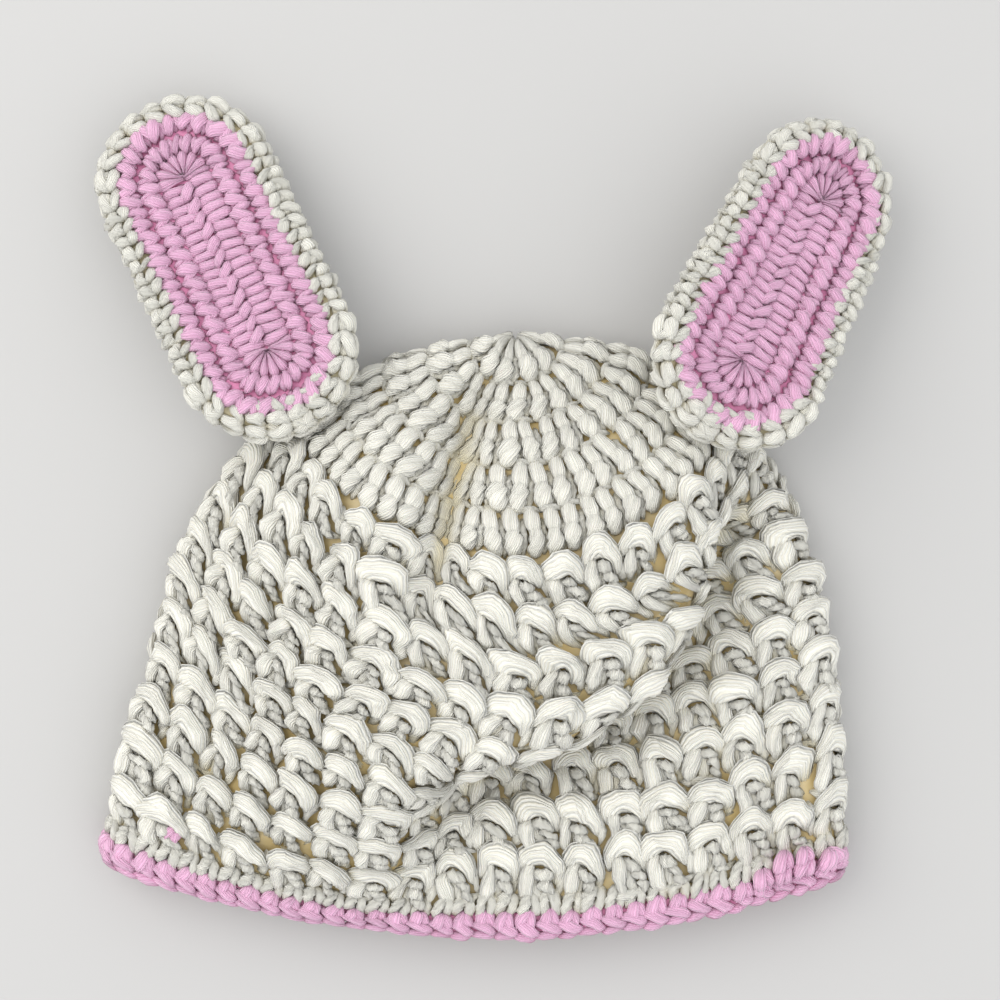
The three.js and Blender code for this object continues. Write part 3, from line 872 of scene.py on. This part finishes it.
raised = stitch_object(
    "raised stitch",
    [
        strand(
            [(-4.2, -0.4, 0.9), (-3.6, 2.2, 2.6), (-1.5, 3.9, 3.9), (1.1, 3.9, 4.3), (3.3, 2.2, 3.7),
             (4.4, -0.6, 2.5), (4.4, -3.4, 0.9)],
            (1.5, 2.5, 3.0, 3.1, 2.7, 1.9, 1.1), flat=0.75, plies=11, groove=0.22, twist=0.07, rings=16,
        ),
        strand(
            [(-1.8, 1.6, 2.4), (-2.8, -1.0, 3.4), (-2.9, -3.9, 2.9), (-2.3, -7.2, 0.7)],
            (1.6, 2.1, 2.0, 1.1), flat=0.85, plies=7, groove=0.22, twist=0.14, rings=10,
        ),
        strand(
            [(-1.0, -0.1, 2.9), (0.9, -1.0, 4.5), (2.7, -2.3, 3.0)],
            (1.0, 1.6, 1.0), plies=4, groove=0.28, twist=0.8, rings=8,
        ),
        strand(
            [(0.2, -2.4, 2.9), (1.9, -3.6, 4.2), (3.5, -5.1, 2.6)],
            (1.0, 1.6, 1.0), plies=4, groove=0.28, twist=0.8, rings=8,
        ),
        strand(
            [(1.2, -4.8, 2.2), (2.7, -5.9, 3.2), (4.0, -7.4, 1.2)],
            (1.0, 1.4, 0.9), plies=4, groove=0.28, twist=0.8, rings=8,
        ),
        strand(
            [(5.0, 3.4, 0.6), (5.3, 0.6, 1.5), (5.3, -2.6, 1.4), (4.9, -5.6, 0.5)],
            (0.9, 1.5, 1.4, 0.9), plies=4, groove=0.22, twist=0.4, rings=8,
        ),
        strand(
            [(-5.3, -6.4, 0.2), (-1.5, -6.9, 0.9), (2.5, -6.7, 0.9), (6.0, -6.1, 0.2)],
            (1.1, 1.5, 1.5, 1.1), plies=3, groove=0.2, twist=0.5, rings=6,
        ),
        strand(
            [(-0.8, 1.2, 1.3), (-0.7, -2.0, 1.8), (-0.2, -4.6, 1.6), (0.4, -7.4, 0.5)],
            (1.0, 1.4, 1.4, 1.0), plies=4, groove=0.22, twist=0.4, rings=8,
        ),
    ],
    cream_yarn,
)
plain_raised = stitch_object(
    "plain raised stitch",
    [
        strand(
            [(-4.7, 0.2, 0.8), (-2.6, 3.7, 3.0), (1.4, 3.7, 3.8), (4.6, -1.2, 2.3), (4.0, -6.6, 0.4)],
            (1.5, 2.8, 3.1, 1.9, 1.0), flat=0.68, plies=8, groove=0.19, twist=0.06, rings=11,
        ),
        strand(
            [(-2.2, 1.6, 2.2), (-3.0, -2.8, 2.9), (-2.3, -7.4, 0.6)],
            (1.6, 2.0, 1.2), plies=5, groove=0.18, twist=0.12, rings=7,
        ),
        strand(
            [(0.0, 0.8, 2.4), (1.6, -2.6, 3.2), (2.8, -7.0, 1.0)],
            (1.1, 1.6, 1.0), plies=4, twist=0.9, groove=0.25, rings=9,
        ),
    ],
    cream_yarn,
)
WALL_STITCHES = 36
WALL_STITCH = 10.5
WALL_ROWS = 10
WALL_ROW = 11.45
WALL_FROM = 61.0
UPPER_ROWS = 5
front_half = only(0, WALL_STITCHES // 2 - 1)
back_half = only(WALL_STITCHES // 2, WALL_STITCHES - 1)
for name, stitch, half, rows, start in (
    ("wall_front_upper", raised, front_half, UPPER_ROWS, 0),
    ("wall_front_lower", raised, front_half, WALL_ROWS - UPPER_ROWS, UPPER_ROWS),
    ("wall_back", plain_raised, back_half, WALL_ROWS, 0),
):
    wall = crocheted(
        name,
        body_chart,
        [
            stitches(
                stitch, WALL_STITCHES, WALL_STITCH, WALL_ROW, WALL_FROM + WALL_ROW * start,
                40 + start + half["First stitch"], Rows=rows, Unevenness=1.4, Wobble=0.0038, Loft=0.8,
            )
            | half
        ],
        cream_yarn,
    )
    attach(wall, "root")
    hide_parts("hat_body")


# ---------------------------------------------------------------------------------------------
# The rim. One cream round of short stitches under the wall, then the pink edging: a round of
# short stitches whose top loops lie along the rim as a braid.

RIM_STITCHES = 72
RIM_STITCH = 5.3
RIM_ROW = 5.8
EDGING_ROW = 4.6
BRAID_ROW = 2.0
short = [
    strand(
        [(-1.7, -3.2, 0.4), (-1.5, -0.9, 1.8), (-0.6, 1.6, 2.0), (0.4, 3.2, 0.9)],
        (0.9, 1.6, 1.6, 0.9), plies=5, groove=0.24, twist=0.7, rings=9,
    ),
    strand(
        [(1.3, -3.2, 0.4), (1.6, -1.0, 1.7), (1.5, 1.2, 1.7), (0.8, 3.0, 0.8)],
        (0.9, 1.4, 1.4, 0.9), plies=4, groove=0.24, twist=-0.7, rings=9,
    ),
]
plump = [
    strand(
        [(-0.9, -2.5, 0.5), (-0.8, -0.9, 1.8), (-0.3, 0.9, 2.0), (0.2, 2.3, 0.7)],
        (1.1, 1.8, 1.7, 0.8), plies=7, groove=0.18, twist=0.1, rings=8,
    ),
    strand(
        [(1.5, -2.4, 0.4), (1.4, -0.8, 1.6), (1.0, 0.8, 1.7), (0.5, 2.1, 0.6)],
        (0.9, 1.5, 1.5, 0.7), plies=5, groove=0.18, twist=-0.1, rings=8,
    ),
]
short_cream = stitch_object("short stitch", short, cream_yarn)
rim_round = crocheted(
    "rim_round",
    body_chart,
    [stitches(short_cream, RIM_STITCHES, RIM_STITCH, RIM_ROW, 174.8, 71)],
    cream_yarn,
)
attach(rim_round, "root")
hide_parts("hat_body")

short_pink = stitch_object("edging stitch", plump, pink_yarn)
braid = stitch_object(
    "edging braid",
    [
        strand(
            [(-3.6, 1.3, 0.7), (-1.4, 0.8, 1.9), (1.2, -0.5, 2.1), (3.2, -1.5, 1.0)],
            (0.8, 1.4, 1.4, 0.8), plies=6, groove=0.18, twist=0.1, rings=9,
        ),
        strand(
            [(-3.2, -1.8, -0.4), (-1.2, -2.0, 0.9), (1.2, -2.1, 0.9), (3.2, -1.9, -0.4)],
            (0.9, 1.3, 1.3, 0.9), plies=5, groove=0.18, twist=-0.1, rings=8,
        ),
    ],
    pink_yarn,
)
edging = crocheted(
    "edging",
    body_chart,
    [
        stitches(short_pink, RIM_STITCHES, RIM_STITCH, EDGING_ROW, 179.0, 81),
        stitches(braid, RIM_STITCHES, RIM_STITCH, BRAID_ROW, 182.4, 82, Unevenness=0.6),
        # At the right corner the rim has curled up, and shows the edging's inner side.
        stitches(short_pink, RIM_STITCHES, RIM_STITCH, EDGING_ROW, 177.8, 87, Loft=2.0) | only(1, 4),
        stitches(short_pink, RIM_STITCHES, RIM_STITCH, EDGING_ROW, 175.2, 86, Loft=2.0) | only(2, 3),
        # The edging's yarn end, which comes through between two stitches of the wall.
        stitches(short_pink, RIM_STITCHES, RIM_STITCH, EDGING_ROW, 169.7, 90, Loft=1.1) | only(32, 32),
    ],
    pink_yarn,
)
# A pink layer behind the edging; with no lift of its own it takes mostly the pink yarn's painted shade
# colour.
edging_behind = fabric_layer("edging_behind", 180.0, 184.5, 4, 0.6, BEHIND_IN)
edging_behind.data.materials.append(pink_yarn)
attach(edging_behind, "root")
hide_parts("brim_edging")
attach(edging, "root")
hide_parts("brim_edging")


# ---------------------------------------------------------------------------------------------
# The ears. Each is two crocheted ovals laid together, a pink front and a cream back, worked in
# rounds about a straight foundation and joined by a cream border. They lie at a slant, their
# bases sewn onto the crown's edge.

EAR = {"thickness": 7.2, "cup": 2.2}
EARS = {
    "left": {
        "length": 90.0, "width": 41.0, "narrowing": 0.0, "pinch": 0.0,
        "at": (-62.4, 169.4, 18.0), "turn": 26.0, "roll": 3.0, "pitch": -9.0,
    },
    "right": {
        "length": 85.0, "width": 39.5, "narrowing": 0.28, "pinch": 3.5,
        "at": (74.4, 165.3, 22.0), "turn": -29.5, "roll": 14.0, "pitch": -10.0,
    },
}
EAR_ROUNDED = 12.0  # a round of this radius at the ends shares its stitches evenly with the sides
EAR_PINCHED = (-0.15, -0.5)  # where the pinch begins and is full, as shares of the length
EAR_STEPS = 160
EAR_OVERLAP = 16
EAR_CHART = {"from": -1.25, "past_rim": 4.2, "rounds": 34}
EAR_FLATNESS = 0.55
EAR_STITCH = 4.2
BORDER_STITCH = 5.6
EAR_BACK_ROUNDS = (18, 26, 34, 42, 50)
EAR_FABRIC_STEPS = 80


def ear_points(ear, from_middle, share, height):
    """Points of one round of an ear: share runs once round it, from its right side over its tip.

    from_middle is the distance out from the foundation, which is as long as the straight sides.
    """
    straight = ear["length"] - ear["width"]
    radius = from_middle
    bend = math.pi * EAR_ROUNDED
    total = 2 * (straight + bend)
    along = (np.asarray(share) % 1) * total
    tip = np.clip((along - straight / 2) / EAR_ROUNDED, 0, math.pi)
    base = np.clip((along - 1.5 * straight - bend) / EAR_ROUNDED, 0, math.pi)
    x = radius * np.cos(tip + base)
    y = np.select(
        [
            along < straight / 2,
            along < straight / 2 + bend,
            along < 1.5 * straight + bend,
            along < 1.5 * straight + 2 * bend,
        ],
        [
            along,
            straight / 2 + radius * np.sin(tip),
            straight + bend - along,
            -straight / 2 - radius * np.sin(base),
        ],
        along - total,
    )
    x = x * (1 - ear["narrowing"] * y / ear["length"])
    side = x / (ear["width"] / 2)
    base = smooth(*EAR_PINCHED, y / ear["length"])
    z = height + (EAR["cup"] + ear["pinch"] * base) * side**2 - EAR["thickness"] / 2
    for degrees, a, b in ((ear["pitch"], 1, 2), (ear["roll"], 2, 0), (ear["turn"], 0, 1)):
        point = [x, y, z]
        c, s = math.cos(math.radians(degrees)), math.sin(math.radians(degrees))
        point[a], point[b] = c * point[a] - s * point[b], s * point[a] + c * point[b]
        x, y, z = point
    return np.stack((x, y, z), 1) + np.array(ear["at"]) + SHIFT


def ear_chart(name, ear, face):
    """The front or back of an ear as a charted surface, wrapping over its rim."""
    wrapped = np.arange(-EAR_OVERLAP, EAR_STEPS + EAR_OVERLAP + 1)
    middle = EAR["thickness"] / 2
    lines = []
    at = np.linspace(EAR_CHART["from"], ear["width"] / 2 + EAR_CHART["past_rim"], EAR_CHART["rounds"])
    for out in at:
        flat = ear["width"] / 2 - middle
        if out <= flat:
            reach, rise = out, middle * EAR_FLATNESS
        else:
            a = (out - flat) / middle
            reach, rise = flat + middle * math.sin(a), middle * EAR_FLATNESS * math.cos(a)
        share = wrapped / EAR_STEPS
        rise = middle + (rise if face == "front" else -rise)
        lines.append(ear_points(ear, reach, share if face == "back" else -share, rise))
    grid = {
        "points": np.array(lines),
        "loft": np.ones((len(at), len(wrapped))),
        "u": wrapped / EAR_STEPS,
        "v": at / (ear["width"] / 2),
    }
    return chart_object(name, grid)


puffed = [
    strand(
        [(-1.6, -2.8, 0.5), (-0.9, -0.9, 2.0), (0.2, 1.0, 2.1), (1.0, 2.9, 0.7)],
        (0.8, 1.7, 1.75, 0.8), flat=0.85, plies=6, groove=0.2, twist=0.15, rings=8,
    ),
    strand(
        [(1.8, -2.6, 0.5), (1.6, -0.9, 1.6), (1.1, 0.8, 1.6), (0.3, 2.4, 0.8)],
        (0.7, 1.3, 1.3, 0.7), plies=4, groove=0.2, twist=-0.15, rings=7,
    ),
    strand(
        [(-2.3, -1.2, 0.3), (-1.9, 0.8, 1.1), (-1.0, 2.8, 0.6)],
        (0.8, 1.1, 0.8), plies=3, groove=0.2, rings=5,
    ),
]
plain_puffed = [
    strand(
        [(-1.6, -2.8, 0.5), (-0.4, 0.0, 2.2), (1.0, 2.9, 0.7)],
        (0.8, 1.9, 0.8), flat=0.85, plies=4, groove=0.2, twist=0.15, rings=7,
    ),
    strand([(1.8, -2.6, 0.5), (1.4, 0.0, 1.7), (0.3, 2.4, 0.8)], (0.8, 1.4, 0.8), plies=3, rings=6),
]
ribs = [
    strand(
        [(x, -3.9, 0.4), (x, -1.8, 1.3), (x, 1.4, 1.4), (x, 3.9, 0.5)],
        (1.0, 1.25, 1.25, 1.0), plies=5, groove=0.2, twist=0.3, rings=8,
    )
    for x in (-1.05, 1.05)
]
petal = [
    strand(
        [(0.1, -3.9, 0.4), (0.0, -2.0, 1.7), (-0.1, 1.2, 1.8), (0.0, 4.0, 1.0)],
        (1.2, 2.3, 2.2, 1.9), flat=0.7, plies=7, groove=0.2, twist=0.1, rings=9,
    )
]
slanted = [
    strand(
        [(-2.4, 1.9, 0.9), (-0.8, 0.9, 2.0), (0.9, -0.7, 2.1), (2.4, -1.7, 0.9)],
        (0.8, 1.5, 1.5, 0.8), flat=0.85, plies=6, groove=0.2, twist=0.1, rings=8,
    )
]
chain = [
    strand(
        [(-3.1, 1.9, 0.4), (-1.3, 1.7, 1.5), (1.1, 0.9, 1.8), (2.9, -0.1, 0.9)],
        (0.8, 1.35, 1.35, 0.8), plies=5, groove=0.2, twist=0.2, rings=8,
    ),
    strand(
        [(-3.1, -1.4, 0.4), (-1.3, -1.6, 1.5), (1.1, -1.1, 1.8), (2.9, -0.2, 0.9)],
        (0.8, 1.35, 1.35, 0.8), plies=5, groove=0.2, twist=-0.2, rings=8,
    ),
]
pink_puff = stitch_object("ear puff", puffed, pink_yarn)
pink_rib = stitch_object("ear rib", ribs, pink_yarn)
pink_slanted = stitch_object("ear foundation loop", slanted, pink_yarn)
pink_petal = stitch_object("ear end stitch", petal, pink_yarn)
cream_puff = stitch_object("ear back stitch", plain_puffed, cream_yarn)
cream_chain = stitch_object("ear border chain", chain, cream_yarn)

for side, ear in EARS.items():
    front = ear_chart(f"ear {side} front chart", ear, "front")
    back = ear_chart(f"ear {side} back chart", ear, "back")

    rim = ear["width"] / 2

    def oval(stitch, count, start, height, seed, width=EAR_STITCH, **more):
        return stitches(stitch, count, width, height, start, seed, Meridian=rim / 1000, **more)

    def border_chain(start, height, seed, loft):
        return oval(cream_chain, 50, start, height, seed, width=BORDER_STITCH, Loft=loft)

    inner = crocheted(
        f"ear_{side}_face",
        front,
        [
            oval(stitch, 33, 0.1, 6.9, 3 + first, Unevenness=0.5, Wobble=0.0010) | only(first, last)
            for stitch, first, last in (
                (pink_rib, 0, 4), (pink_petal, 5, 11), (pink_rib, 12, 20), (pink_petal, 21, 27),
                (pink_rib, 28, 32),
            )
        ]
        + [
            oval(pink_puff, 44, 6.6, 5.5, 4),
            oval(pink_puff, 50, 12.0, 5.9, 5, Phase=0.5),
            oval(pink_slanted, 46, -1.1, 3.6, 6, Unevenness=0.5) | only(17, 28),
        ],
        pink_yarn,
    )
    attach(inner, "root")
    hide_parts(f"ear_{side}_inner")
    pitch = (rim + 0.6) / len(EAR_BACK_ROUNDS)
    outer = crocheted(
        f"ear_{side}_back",
        back,
        [
            oval(cream_puff, count, 0.3 + pitch * k, pitch, 6 + k)
            for k, count in enumerate(EAR_BACK_ROUNDS)
        ],
        cream_yarn,
    )
    # The border's two rounds, and the chain that sews the ear on at its base.
    border = crocheted(
        f"ear_{side}_border",
        front,
        [
            border_chain(rim - 3.3, 3.4, 11, 1.1),
            border_chain(rim - 0.4, 3.0, 12, 0.9),
            border_chain(rim - 6.5, 3.6, 13, 1.15) | only(10, 14),
        ],
        cream_yarn,
    )
    for piece in (outer, border):
        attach(piece, "root")
        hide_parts(f"ear_{side}_outer")
    # The two layers behind the stitches, which show only as colour between them: having no lift of
    # their own, they take mostly their yarn's painted shade colour.
    for piece_name, yarn, slot, node, section in (
        (
            f"ear_{side}_back_fabric", cream_yarn, "cream_yarn", f"ear_{side}_outer",
            ((0.0, 1.6), (rim - 8, 1.6), (rim - 1.7, 1.8), (rim - 0.4, 3.6), (rim - 1.7, 5.4),
             (rim - 8, 5.3), (0.0, 5.3)),
        ),
        (
            f"ear_{side}_face_fabric", pink_yarn, "pink_yarn", f"ear_{side}_inner",
            ((0.0, 5.5), (rim - 8, 5.5), (rim - 5, 5.6), (rim - 5, 6.1), (rim - 8, 6.2), (0.0, 6.2)),
        ),
    ):
        share = np.arange(EAR_FABRIC_STEPS) / EAR_FABRIC_STEPS
        loops = [ear_points(ear, max(reach, 0.05), share, rise) for reach, rise in section]
        layer = lofted(piece_name, loops, True)
        layer.data.materials.append(yarn)
        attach(layer, "root")
        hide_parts(node)
    for chart in (front, back):
        bpy.data.objects.remove(chart)

for used in (
    tall, raised, plain_raised, short_cream, short_pink, braid, pink_puff, pink_rib, pink_petal,
    pink_slanted, cream_puff, cream_chain,
):
    bpy.data.objects.remove(used)
bpy.data.objects.remove(body_chart)


# ---------------------------------------------------------------------------------------------
# The table, the light and the camera. A plain pale surface, a large soft light from the upper
# left as from a window, a weaker fill, and the camera straight above.

FLOOR_HALF = 3
FLOOR_COLOUR = (0.50, 0.49, 0.475, 1)
floor_corners = [(x * FLOOR_HALF, y * FLOOR_HALF, 0) for x, y in ((-1, -1), (1, -1), (1, 1), (-1, 1))]
floor_mesh = bpy.data.meshes.new("floor")
floor_mesh.from_pydata(floor_corners, [], [(0, 1, 2, 3)])
floor = bpy.data.objects.new("floor", floor_mesh)
bpy.context.scene.collection.objects.link(floor)
floor_material = bpy.data.materials.new("pale floor")
floor_material.use_nodes = True
floor_shader = floor_material.node_tree.nodes["Principled BSDF"].inputs
floor_shader["Base Color"].default_value = FLOOR_COLOUR
floor_shader["Roughness"].default_value = 0.9
floor_mesh.materials.append(floor_material)


def soft_light(name, at, aim, size, power, colour):
    light = bpy.data.lights.new(name, "AREA")
    light.size = size
    light.energy = power
    light.color = colour
    obj = bpy.data.objects.new(name, light)
    obj.location = at
    obj.rotation_euler = (Vector(aim) - Vector(at)).to_track_quat("-Z", "Y").to_euler()
    bpy.context.scene.collection.objects.link(obj)


soft_light("window", (-0.75, 0.35, 0.85), (0, 0, 0), 1.1, 7.5, (1.0, 0.985, 0.96))
soft_light("fill", (0.6, -0.5, 1.1), (0, 0, 0), 1.6, 5, (0.96, 0.98, 1.0))
ROOM_COLOUR = (0.95, 0.97, 1.0, 1)
ROOM_STRENGTH = 1.08
world = bpy.data.worlds.new("room")
world.use_nodes = True
room = world.node_tree.nodes["Background"].inputs
room["Color"].default_value = ROOM_COLOUR
room["Strength"].default_value = ROOM_STRENGTH
bpy.context.scene.world = world
bpy.context.scene.view_settings.view_transform = "Standard"

CAMERA_HEIGHT = 0.52
SEEN_WIDTH = 0.26
SENSOR_WIDTH = 36
camera_data = bpy.data.cameras.new("camera")
camera_data.sensor_width = SENSOR_WIDTH
camera_data.lens = SENSOR_WIDTH * CAMERA_HEIGHT / SEEN_WIDTH
camera = bpy.data.objects.new("camera", camera_data)
camera.location = (0.0020, 0.0041, CAMERA_HEIGHT)
camera.rotation_euler = (0, 0, 0)
bpy.context.scene.collection.objects.link(camera)
bpy.context.scene.camera = camera
